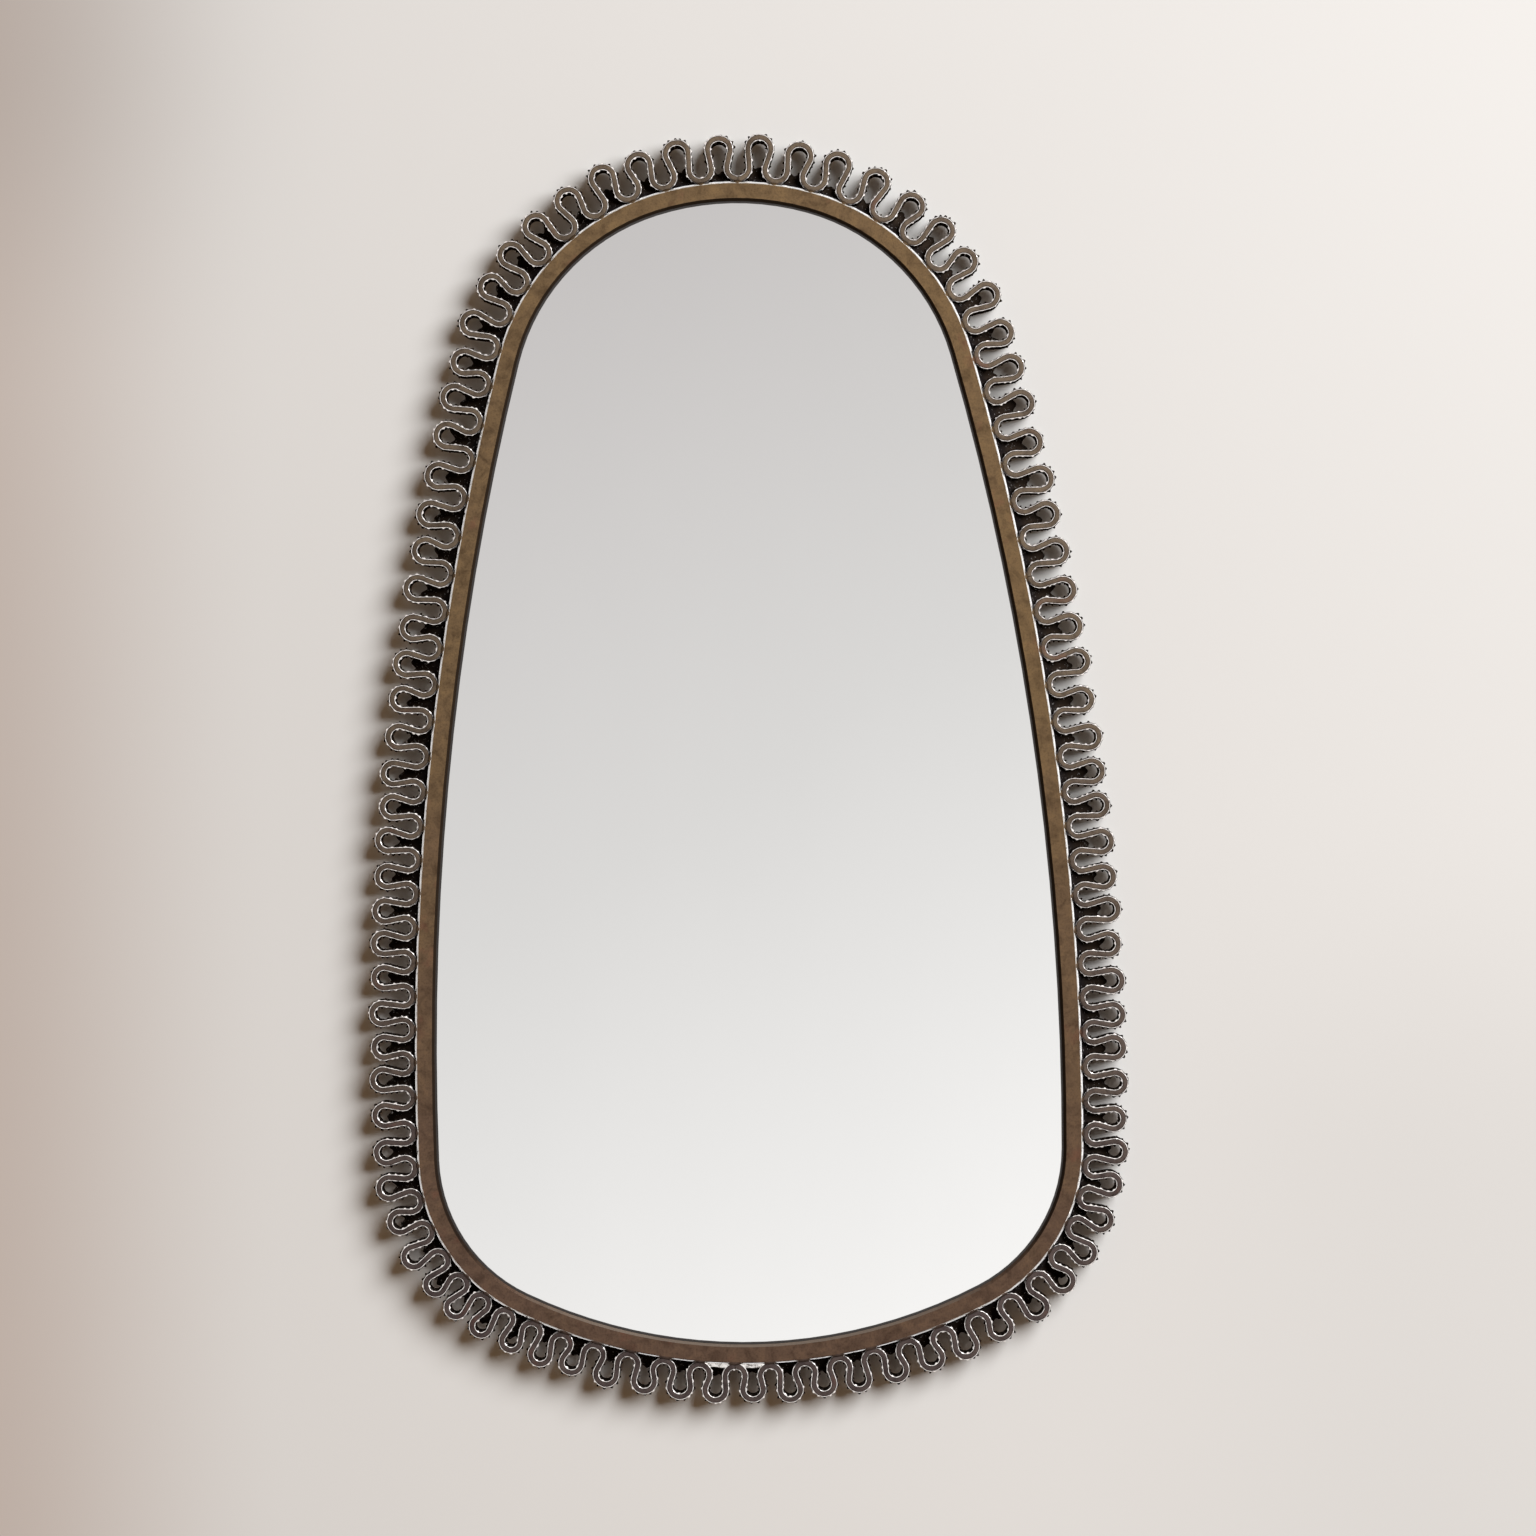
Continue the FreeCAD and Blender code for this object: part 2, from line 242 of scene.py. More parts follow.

# Sides: which way and how far back they are less dark, and in what patches; their dark colour is partly
# patina and partly painted shade in the pockets between strands, on burr fringes and along the rim's band
SIDE_DIRT_AND_SHADE = (0.014, 0.0105, 0.0085)
OPEN_SIDE_FACING = (0.0, 0.4)
OPEN_SIDE_DEPTH = (-9.5 * MM, -6.0 * MM)
PATCH_NOISE = (0.35, 0.6)
PATCH_SHARES = (0.55, 1.0)


def patina(g, place, mottle, grain, lit_upper, shaded_lower):
    """Colour of old brass: its upper tone above, its lower one below as painted shade, clouded, speckled and
    blushed.
    """
    height = g.parts(place)[2]
    broad = g.noise(place, 22.0, detail=3.0, roughness=0.6)
    sway = g.times(g.minus(broad, NOISE_MIDDLE), SHADE_SWAY)
    # Painted shade: the brass turns from its lit upper tone to its shaded lower tone towards the base
    lit_share = g.plus(g.span(height, *SHADE_HEIGHTS, smooth=False), sway, clamp=True)
    colour = g.mix(lit_share, shaded_lower, lit_upper)
    colour = g.tint(colour, g.ramp(mottle, BRASS_CLOUDS))
    colour = g.tint(colour, g.ramp(grain, BRASS_SPECKS))
    blush = g.span(g.noise(place, 48.0, roughness=0.6), *BLUSH_BEGINS)
    return g.mix(g.times(blush, BLUSH_SHARE), colour, BLUSH)


def shade_lip(g, place, normal, edge, colour, share):
    """Colour of the rim with painted light across its flanks, painted shade on the bevel towards the glass
    and painted light where that bevel faces up, the painted shade, and the share of rubbing kept.
    """
    across, _, height = g.parts(place)
    # Painted light: the left flank is lifted most, the right one only a little
    colour = g.tint(colour, g.ramp(g.span(across, *FLANKS), FLANK_PAINTED_LIGHT))
    heading = g.vector_math("SUBTRACT", place, tuple(RIM_CENTRE))
    outer = g.span(g.vector_math("DOT_PRODUCT", heading, normal), *OUTER_BEGINS)
    lip = g.times(edge, g.minus(1.0, outer))
    rise = g.parts(normal)[2]
    # Painted light on the lip's bevel where it faces up
    colour = g.mix(g.times(lip, g.span(rise, *LIT_LIP_BEGINS)), colour, LIT_LIP)
    # Painted shade on the lip's bevel, least where it faces up
    dirt_and_shade = g.times(lip, g.span(rise, *LIP_SHADE_ENDS, share, LIP_SHADE_LEAST))
    bright = g.times(outer, g.span(height, *BASE_FADE))
    return g.mix(dirt_and_shade, colour, LIP_SHADE), dirt_and_shade, bright


def soil_and_shade_sides(g, place, normal, slant, colour, share):
    """Colour with dirt and painted shade on the sides, and that share: less on sides that face out, behind
    the front edge.
    """
    depth = g.parts(place)[1]
    heading = g.vector_math("NORMALIZE", g.vector_math("SUBTRACT", place, tuple(RIM_CENTRE)))
    facing = g.vector_math("DOT_PRODUCT", heading, normal)
    open_side = g.times(g.span(facing, *OPEN_SIDE_FACING), g.span(depth, *OPEN_SIDE_DEPTH))
    patches = g.span(g.noise(place, 70.0, detail=5.0, roughness=0.65), *PATCH_NOISE, *PATCH_SHARES)
    less_dark = g.minus(1.0, g.times(open_side, patches))
    # Dark patina and painted shade on steep facets: the strands' sides, burr fringes and the rim's band
    dirt_and_shade = g.times(g.span(slant, *SIDE_ENDS, 0.0, share), less_dark)
    return g.mix(dirt_and_shade, colour, SIDE_DIRT_AND_SHADE), dirt_and_shade


def aged_brass(name, lit_upper, shaded_lower, worn=None, lip_shade=0.0, side_dirt_and_shade=0.0):
    """Patinated brass, darker towards its base as painted shade. With a worn colour, its edges are rubbed
    bright and dirt lies in the grooves beside them. Shares are for painted shade on the bevel towards the
    glass and for dirt and painted shade on the sides."""
    material, g = new_material(name)
    place = g.object_place()
    mottle = g.noise(place, 130.0, detail=6.0, roughness=0.68, distortion=0.6)
    grain = g.noise(place, 900.0, roughness=0.6)
    colour = patina(g, place, mottle, grain, lit_upper, shaded_lower)
    roughness = g.vary(mottle, *BRASS_ROUGHNESS)
    metal = BRASS_METAL
    if worn:
        normal = g.facet_normal()
        slant = g.math("ABSOLUTE", g.parts(normal)[1])
        edge = g.times(g.span(slant, *EDGE_BEGINS), g.span(slant, *EDGE_ENDS))
        groove = g.times(g.span(slant, *GROOVE_BEGINS), g.span(slant, *GROOVE_ENDS))
        rubbed = g.times(edge, g.span(g.noise(place, 420.0, detail=3.0, roughness=0.7), *LINE_BREAKS))
        soiled_and_shaded = g.times(groove, GROOVE_DIRT_SHARE)
        colour = g.mix(soiled_and_shaded, colour, GROOVE_DIRT)
        if lip_shade:
            colour, dirt_and_shade, bright = shade_lip(g, place, normal, edge, colour, lip_shade)
            rubbed = g.times(rubbed, bright)
            soiled_and_shaded = g.plus(soiled_and_shaded, dirt_and_shade, clamp=True)
        if side_dirt_and_shade:
            colour, dirt_and_shade = soil_and_shade_sides(g, place, normal, slant, colour, side_dirt_and_shade)
            soiled_and_shaded = g.plus(soiled_and_shaded, dirt_and_shade, clamp=True)
        colour = g.mix(rubbed, colour, worn)
        roughness = g.minus(roughness, g.times(rubbed, RUBBED_SMOOTHNESS))
        roughness = g.plus(roughness, g.times(soiled_and_shaded, SOILED_AND_SHADED_ROUGHNESS), clamp=True)
        metal = g.span(soiled_and_shaded, 0.0, SOILED_AND_SHADED_LIMIT, metal, 0.0, smooth=False)
    relief = g.blend(mottle, 0.7, grain, 0.5)
    g.surface({
        "Base Color": colour,
        "Metallic": metal,
        "Roughness": roughness,
        "Specular IOR Level": 0.0,
        "Normal": g.bump(relief, strength=0.2, distance=0.4 * MM),
    })
    return material


# Blackened solder, whose near-black front also stands in for shade in the pockets: its colours, the depths
# over which it turns brown and those over which its seam begins, and how squarely the seam faces the viewer
# and the rear faces the wall
SOOT_AND_SHADE = ((0.3, (0.007, 0.006, 0.007)), (0.55, (0.016, 0.013, 0.013)), (0.75, (0.035, 0.026, 0.022)))
SOOT_BROWN = (0.04, 0.027, 0.019)
SOOT_BROWN_DEPTH = (-10.5 * MM, -3.0 * MM)
SOOT_BROWN_SHARE = 0.85
TIN_SPECK = (0.42, 0.4, 0.39)
TIN_SPECK_BEGINS = (0.62, 0.68)
TIN_SPECK_SHARE = 0.7
SEAM = (0.95, 0.94, 0.95)
SEAM_DEPTH = (-12.6 * MM, -13.1 * MM)
SEAM_BEGINS = (0.5, 0.6)
REAR_BEGINS = (-0.25, -0.6)
REAR_TIN = ((0.3, (0.07, 0.062, 0.056)), (0.5, (0.2, 0.19, 0.18)), (0.72, (0.36, 0.35, 0.335)))
REAR_METAL = 0.85


def soot_black_and_shade():
    """Solder blackened by the torch, its near-black front also painted shade for the pockets, with tinned
    specks, a bright seam where it slopes off the rim's edge, and dull tin at its rear."""
    material, g = new_material("solder_black")
    place = g.object_place()
    depth = g.parts(place)[1]
    soot = g.noise(place, 260.0, detail=5.0, roughness=0.65)
    # Near-black soot, partly painted shade for the pockets
    colour = g.ramp(soot, SOOT_AND_SHADE)
    colour = g.mix(g.span(depth, *SOOT_BROWN_DEPTH, 0.0, SOOT_BROWN_SHARE), colour, SOOT_BROWN)
    specks = g.span(g.noise(place, 620.0, detail=3.0, roughness=0.6), *TIN_SPECK_BEGINS)
    tinned = g.times(specks, TIN_SPECK_SHARE)
    colour = g.mix(tinned, colour, TIN_SPECK)
    facing = g.times(g.parts(g.facet_normal())[1], -1.0)
    seam = g.times(g.span(facing, *SEAM_BEGINS), g.span(depth, *SEAM_DEPTH))
    seam = g.times(seam, g.span(g.noise(place, 380.0, detail=3.0, roughness=0.7), *LINE_BREAKS))
    colour = g.mix(seam, colour, SEAM)
    rear = g.span(facing, *REAR_BEGINS)
    colour = g.mix(rear, colour, g.ramp(soot, REAR_TIN))
    metal = g.math("MAXIMUM", seam, tinned)
    metal = g.math("MAXIMUM", metal, g.times(rear, REAR_METAL))
    g.surface({
        "Base Color": colour,
        "Metallic": metal,
        "Roughness": g.vary(soot, 0.4, 0.7),
        "Specular IOR Level": 0.0,
        "Normal": g.bump(soot, strength=0.4, distance=0.4 * MM),
    })
    return material


# Bare solder: colours and roughness at values of its crust
BARE_TIN = ((0.38, (0.1, 0.085, 0.08)), (0.48, (0.8, 0.77, 0.74)), (0.7, (0.96, 0.94, 0.92)))
BARE_TIN_CRUST = (0.35, 0.7)
BARE_TIN_ROUGHNESS = (0.55, 0.3)


def bare_tin():
    """Bright, crusty solder."""
    material, g = new_material("solder_bare")
    crust = g.noise(g.object_place(), 520.0, detail=5.0, roughness=0.7, distortion=0.5)
    g.surface({
        "Base Color": g.ramp(crust, BARE_TIN),
        "Metallic": 0.9,
        "Roughness": g.span(crust, *BARE_TIN_CRUST, *BARE_TIN_ROUGHNESS, smooth=False),
        "Normal": g.bump(crust, strength=0.6, distance=0.5 * MM),
    })
    return material


# Silvered glass: how its smears are drawn out, and its colours and roughness at their values
SMEAR_SCALES = (5.0, 5.0, 2.0)
SILVER = ((0.3, (0.925, 0.925, 0.92)), (0.7, (0.945, 0.945, 0.94)))
SILVER_SMEAR = (0.3, 0.75)
SILVER_ROUGHNESS = (0.012, 0.035)


def mirror_silver():
    """Silvered glass with faint smears."""
    material, g = new_material("silvered_glass")
    place = g.vector_math("MULTIPLY", g.object_place(), SMEAR_SCALES)
    smear = g.noise(place, 1.0, detail=5.0, roughness=0.62)
    g.surface({
        "Base Color": g.ramp(smear, SILVER),
        "Metallic": 1.0,
        "Roughness": g.span(smear, *SILVER_SMEAR, *SILVER_ROUGHNESS, smooth=False),
    })
    return material


# Dark packing, its darkness partly painted shade at the glass's edge
PACKING_AND_SHADE = ((0.3, (0.012, 0.009, 0.008)), (0.7, (0.035, 0.028, 0.024)))


def dark_packing():
    """Dull, grainy packing strip, dark also as painted shade where the rim meets the glass."""
    material, g = new_material("dark_packing")
    grain = g.noise(g.object_place(), 700.0, roughness=0.6)
    g.surface({
        "Base Color": g.ramp(grain, PACKING_AND_SHADE),
        "Roughness": g.vary(grain, 0.62, 0.85),
        "Normal": g.bump(grain, strength=0.3, distance=0.3 * MM),
    })
    return material


FELT = ((0.3, (0.05, 0.055, 0.05)), (0.7, (0.17, 0.18, 0.165)))


def grey_felt():
    """Matted grey fibres."""
    material, g = new_material("grey_felt")
    place = g.object_place()
    fibre = g.noise(place, 1400.0, detail=6.0, roughness=0.75, distortion=1.2)
    cloud = g.noise(place, 60.0, detail=3.0, roughness=0.6)
    g.surface({
        "Base Color": g.ramp(g.blend(fibre, 0.7, cloud, 0.3), FELT),
        "Roughness": 0.95,
        "Sheen Weight": 0.3,
        "Normal": g.bump(fibre, strength=0.6, distance=0.6 * MM),
    })
    return material


# Hardboard: how its fibres are drawn out, its colours, and the mesh that it was pressed on
FIBRE_SCALES = (1.0, 1.0, 0.35)
HARDBOARD = ((0.3, (0.13, 0.075, 0.038)), (0.5, (0.23, 0.14, 0.075)), (0.72, (0.34, 0.22, 0.125)))
HARDBOARD_FLECKS = ((0.32, (0.7, 0.68, 0.66)), (0.5, WHITE))
BOARD_MESH = (0.11, 0.062, 0.032)
BOARD_MESH_PITCH = 1.4 * MM
BOARD_MESH_BEGINS = (0.2, 0.9)
BOARD_MESH_SHARE = 0.3


def brown_hardboard():
    """Pressed fibre board, printed with the fine mesh that it was pressed on."""
    material, g = new_material("brown_hardboard")
    place = g.object_place()
    cloud = g.noise(place, 14.0, detail=5.0, roughness=0.62, distortion=0.4)
    drawn = g.vector_math("MULTIPLY", place, FIBRE_SCALES)
    fibre = g.noise(drawn, 520.0, detail=6.0, roughness=0.72, distortion=1.5)
    fleck = g.noise(place, 1500.0, detail=3.0, roughness=0.6)
    x, _, z = g.parts(place)
    turn = 2 * math.pi / BOARD_MESH_PITCH
    mesh = g.times(g.math("SINE", g.times(x, turn)), g.math("SINE", g.times(z, turn)))
    colour = g.ramp(g.blend(cloud, 0.45, fibre, 0.55), HARDBOARD)
    colour = g.tint(colour, g.ramp(fleck, HARDBOARD_FLECKS))
    colour = g.mix(g.span(mesh, *BOARD_MESH_BEGINS, 0.0, BOARD_MESH_SHARE), colour, BOARD_MESH)
    relief = g.plus(g.times(mesh, 0.4), fibre)
    g.surface({
        "Base Color": colour,
        "Roughness": g.vary(fibre, 0.58, 0.8),
        "Normal": g.bump(relief, strength=0.4, distance=0.4 * MM),
    })
    return material


# Zinc-plated steel: how its scratches are drawn out, its bloom, and its rust
SCRATCH_SCALES = (1.0, 1.0, 14.0)
ZINC = ((0.28, (0.27, 0.265, 0.25)), (0.5, (0.46, 0.46, 0.45)), (0.75, (0.6, 0.6, 0.6)))
RUST = (0.2, 0.085, 0.035)
RUST_BEGINS = (0.6, 0.72)
RUST_SHARE = 0.5


def zinc_steel():
    """Zinc-plated steel with bloom, scratches and a little rust."""
    material, g = new_material("zinc_steel")
    place = g.object_place()
    bloom = g.noise(place, 180.0, detail=5.0, roughness=0.65, distortion=0.8)
    drawn = g.vector_math("MULTIPLY", place, SCRATCH_SCALES)
    scratch = g.noise(drawn, 260.0, roughness=0.6)
    rust = g.span(g.noise(place, 75.0, detail=6.0, roughness=0.7), *RUST_BEGINS)
    g.surface({
        "Base Color": g.mix(g.times(rust, RUST_SHARE), g.ramp(bloom, ZINC), RUST),
        "Metallic": 0.95,
        "Roughness": g.vary(g.blend(bloom, 0.6, scratch, 0.4), 0.3, 0.55),
        "Normal": g.bump(scratch, strength=0.2, distance=0.2 * MM),
    })
    return material


rim_brass = aged_brass(
    "rim_brass_aged",
    lit_upper=(0.114, 0.0725, 0.038),
    shaded_lower=(0.09, 0.055, 0.038),
    worn=(0.97, 0.95, 0.91),
    lip_shade=0.92,
    side_dirt_and_shade=0.8,
)
strip_brass = aged_brass(
    "strip_brass_aged",
    lit_upper=(0.106, 0.079, 0.057),
    shaded_lower=(0.072, 0.054, 0.051),
    worn=(0.98, 0.93, 0.905),
    side_dirt_and_shade=0.92,
)
black_solder_and_shade = soot_black_and_shade()
brown_solder = aged_brass("solder_brass_brown", lit_upper=(0.1, 0.066, 0.038), shaded_lower=(0.075, 0.05, 0.04))
bright_solder = bare_tin()
hardware_brass = aged_brass(
    "hardware_brass_dull",
    lit_upper=(0.42, 0.29, 0.12),
    shaded_lower=(0.36, 0.24, 0.1),
    worn=(0.7, 0.56, 0.32),
)
screw_steel = zinc_steel()
finishes = {
    "mirror_glass": mirror_silver(),
    "glazing_strip": dark_packing(),
    "face_ring": rim_brass,
    "side_band": rim_brass,
    "backing_felt": grey_felt(),
    "backing_board": brown_hardboard(),
    "fixing_lugs": hardware_brass,
    "button_screws": screw_steel,
    "hanger_plate": hardware_brass,
    "hanger_screws": screw_steel,
}
finishes.update({name: strip_brass for name in nodes if name.startswith("loop_strip")})
finishes.update({name: hardware_brass for name in nodes if name.startswith("turn_button")})
for name, node in nodes.items():
    for slot in node.material_slots:
        slot.material = finishes[name]


# Finish of the CAD nodes: gap that joins their faces, angle of an edge that stays sharp, and rubbed edges
# of small hardware
JOIN_GAP = 0.005 * MM
SHARP_ANGLE = math.radians(25)
BEVEL_ANGLE = math.radians(40)
BEVEL_SEGMENTS = 2
BLOCK_BEVEL = 0.4 * MM
BUTTON_BEVEL = 0.3 * MM


def smoothing_group():
    """Geometry nodes that join the faces of a CAD mesh and shade it smooth up to a sharp edge."""
    group = bpy.data.node_groups.new("join_and_smooth", "GeometryNodeTree")
    group.interface.new_socket("Geometry", in_out="INPUT", socket_type="NodeSocketGeometry")
    group.interface.new_socket("Geometry", in_out="OUTPUT", socket_type="NodeSocketGeometry")
    source = group.nodes.new("NodeGroupInput")
    result = group.nodes.new("NodeGroupOutput")
    merge = group.nodes.new("GeometryNodeMergeByDistance")
    merge.inputs["Distance"].default_value = JOIN_GAP
    faces = group.nodes.new("GeometryNodeSetShadeSmooth")
    faces.domain = "FACE"
    angle = group.nodes.new("GeometryNodeInputMeshEdgeAngle")
    sharp = group.nodes.new("FunctionNodeCompare")
    sharp.data_type = "FLOAT"
    sharp.operation = "GREATER_THAN"
    sharp.inputs["B"].default_value = SHARP_ANGLE
    edges = group.nodes.new("GeometryNodeSetShadeSmooth")
    edges.domain = "EDGE"
    edges.inputs["Shade Smooth"].default_value = False
    link = group.links.new
    link(source.outputs[0], merge.inputs["Geometry"])
    link(merge.outputs["Geometry"], faces.inputs["Geometry"])
    link(angle.outputs["Unsigned Angle"], sharp.inputs["A"])
    link(faces.outputs["Geometry"], edges.inputs["Geometry"])
    link(sharp.outputs["Result"], edges.inputs["Selection"])
    link(edges.outputs["Geometry"], result.inputs[0])
    return group


smoothing = smoothing_group()
bevels = {"fixing_lugs": BLOCK_BEVEL, "hanger_plate": BLOCK_BEVEL}
bevels.update({name: BUTTON_BEVEL for name in nodes if name.startswith("turn_button")})
for name, node in nodes.items():
    node.modifiers.new("join", "NODES").node_group = smoothing
    if name in bevels:
        bevel = node.modifiers.new("rubbed_edges", "BEVEL")
        bevel.width = bevels[name]
        bevel.segments = BEVEL_SEGMENTS
        bevel.limit_method = "ANGLE"
        bevel.angle_limit = BEVEL_ANGLE
        node.modifiers.new("finish", "NODES").node_group = smoothing


def new_piece(name, vertices, faces, material):
    """Closed mesh with its faces turned outward, carried by the mirror and finished as the looped strip."""
    mesh = bpy.data.meshes.new(name)
    mesh.from_pydata(vertices, [], faces)
    shape = bmesh.new()
    shape.from_mesh(mesh)
    bmesh.ops.recalc_face_normals(shape, faces=shape.faces)
    shape.to_mesh(mesh)
    shape.free()
    mesh.materials.append(material)
    piece = bpy.data.objects.new(name, mesh)
    scene.collection.objects.link(piece)
    piece.modifiers.new("finish", "NODES").node_group = smoothing
    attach(piece, "mirror")
    return piece


# Reading the strips' meshes: how far from the front a point may lie, and the turn at a strip's square end
FRONT_TOLERANCE = 0.001 * MM
END_TURN = math.radians(60)


def strip_sides(mesh):
    """Matching points of the two long sides of a strip's front, from one end to the other."""
    front = min(vertex.co.y for vertex in mesh.vertices)
    uses = {}
    for face in mesh.polygons:
        corners = list(face.vertices)
        if any(mesh.vertices[corner].co.y > front + FRONT_TOLERANCE for corner in corners):
            continue
        for pair in zip(corners, corners[1:] + corners[:1]):
            uses.setdefault(frozenset(pair), []).append(pair)
    following = dict(pairs[0] for pairs in uses.values() if len(pairs) == 1)
    loop = [min(following)]
    while following[loop[-1]] != loop[0]:
        loop.append(following[loop[-1]])
    points = [mesh.vertices[index].co.copy() for index in loop]
    square = []
    for index, point in enumerate(points):
        run = point - points[index - 1]
        next_run = points[(index + 1) % len(points)] - point
        square.append(run.angle(next_run) > END_TURN)
    first, second = [index for index in range(len(points)) if square[index] and square[index - 1]]
    return points[first:second], (points[second:] + points[:first])[::-1]


# The band that the loops stand on, read at this place along Y
BAND_MIDDLE = -5.0 * MM
band = nodes["side_band"].data
band_tree = BVHTree.FromPolygons([v.co for v in band.vertices], [tuple(p.vertices) for p in band.polygons])


def band_place(point):
    """Nearest point of the band, the direction out of it there, and the distance to it."""
    place, normal, index, gap = band_tree.find_nearest(Vector((point.x, BAND_MIDDLE, point.z)))
    outward = Vector((normal.x, 0.0, normal.z)).normalized()
    if outward.dot(place - RIM_CENTRE) < 0.0:
        outward = -outward
    return place, outward, gap


def around(point):
    """Angle about the middle of the rim, clockwise from the top as seen from the front."""
    return math.atan2(point.x, point.z - RIM_CENTRE.z)


def rim_walk(strips):
    """Points on the looped strip's side that faces the rim, clockwise round it, with their distance to it."""
    runs = []
    for sides in strips.values():
        run = min(sides, key=lambda side: min(band_place(point)[2] for point in side))
        turn = math.remainder(around(run[-1]) - around(run[0]), 2 * math.pi)
        runs.append(run if turn > 0.0 else run[::-1])
    runs.sort(key=lambda run: around(run[0]))
    walk = [(point, band_place(point)[2]) for run in runs for point in run]
    farthest = max(range(len(walk)), key=lambda index: walk[index][1])
    return walk[farthest:] + walk[:farthest]


CONTACT_REACH = 0.4 * MM


def contact_places(walk):
    """Index on the walk of the point where each foot of the looped strip comes nearest to the band."""
    contacts = []
    cluster = []
    for index, (point, gap) in enumerate(walk):
        if gap < CONTACT_REACH:
            cluster.append(index)
        elif cluster:
            contacts.append(min(cluster, key=lambda place: walk[place][1]))
            cluster = []
    return contacts


strips = {name: strip_sides(node.data) for name, node in nodes.items() if name.startswith("loop_strip")}
walk = rim_walk(strips)
contacts = contact_places(walk)
feet = [band_place(walk[index][0])[:2] for index in contacts]
foot_tree = KDTree(len(feet))
for index, (place, outward) in enumerate(feet):
    foot_tree.insert((place.x, 0.0, place.z), index)
foot_tree.balance()


# Corners of the looped strip, worn by hand: distances in from its side and from its front or rear, from the
# flat to the side, in millimetres. In front, also the shares of a burr's reach by which the point stands
# out for a dark and for a bright burr, and by which it goes back for a bright one
FRONT_CORNER = (
    (0.98, 0.0, 0.0, 0.0, 0.0),
    (0.64, 0.045, 0.0, 0.0, 0.0),
    (0.37, 0.29, 0.1, 0.6, 0.5),
    (0.0, 2.5, 1.0, 0.4, 0.0),
    (0.0, 4.2, 0.0, 0.0, 0.0),
)
REAR_CORNER = ((0.95, 0.0), (0.72, 0.03), (0.26, 0.4), (0.0, 1.0))
STRIP_RING_SPACING = 0.6 * MM
WEAR_RANGE = (0.5, 1.5)
WEAR_PULL = 0.18
# Burrs along its sides: reach in millimetres, distance kept from the feet, and the share of bright ones
BURR_SPACING = (2.4 * MM, 4.4 * MM)
BURR_REACH = (0.7, 1.25)
BURR_HALF_WIDTH = (0.6 * MM, 0.9 * MM)
BURR_CLEARANCE = 3.4 * MM
BRIGHT_BURR_SHARE = 0.4


def headings(points):
    """Direction of travel at each point of a line."""
    ahead = points[1:] + points[-1:]
    behind = points[:1] + points[:-1]
    return [(after - before).normalized() for after, before in zip(ahead, behind)]


def rounded(left, right):
    """Both sides of a strip as smooth curves through their points, with rings about as far apart as named."""
    sides = ([], [])
    ways = (headings(left), headings(right))
    for index in range(len(left) - 1):
        spans = [(side[index + 1] - side[index]).length for side in (left, right)]
        steps = math.ceil(max(spans) / STRIP_RING_SPACING)
        for row, points, way, span in zip(sides, (left, right), ways, spans):
            start, finish = points[index], points[index + 1]
            pull = span / 3
            handles = (start + way[index] * pull, finish - way[index + 1] * pull)
            row.extend(interpolate_bezier(start, *handles, finish, steps + 1)[:-1])
    for row, points in zip(sides, (left, right)):
        row.append(points[-1])
    return sides


def wandering_wear(draw, count):
    """Wear along a corner: one value for each ring, drifting slowly about 1."""
    value, row = 1.0, []
    for step in range(count):
        value += WEAR_PULL * (draw.uniform(*WEAR_RANGE) - value)
        row.append(value)
    return row


def burr_reaches(draw, points):
    """How far dark and bright burrs stand out at each point along one side of a strip, clear of its feet."""
    travelled = [0.0]
    for before, point in zip(points, points[1:]):
        travelled.append(travelled[-1] + (point - before).length)
    dark, bright = [0.0] * len(points), [0.0] * len(points)
    middle, first = draw.uniform(*BURR_SPACING), 0
    while middle < travelled[-1]:
        height, half_width = draw.uniform(*BURR_REACH), draw.uniform(*BURR_HALF_WIDTH)
        reaches = bright if draw.random() < BRIGHT_BURR_SHARE else dark
        while travelled[first] < middle - half_width:
            first += 1
        index = first
        while index < len(points) and travelled[index] < middle + half_width:
            off = (travelled[index] - middle) / half_width
            if foot_tree.find((points[index].x, 0.0, points[index].z))[2] > BURR_CLEARANCE:
                reaches[index] = max(reaches[index], height * math.sqrt(1.0 - off * off))
            index += 1
        middle += draw.uniform(*BURR_SPACING)
    return dark, bright


def front_profile(front, wear, dark, bright):
    """Insets in millimetres and places along Y of the points of a front corner, from the flat to the side."""
    return [
        (inset * wear - out * dark - bright_out * bright, front + (drop * wear + back * bright) * MM)
        for inset, drop, out, bright_out, back in FRONT_CORNER
    ]


def rear_profile(rear, wear):
    """Insets in millimetres and places along Y of the points of a rear corner, from the side to the flat."""
    return [(inset * wear, rear - drop * wear * MM) for inset, drop in reversed(REAR_CORNER)]


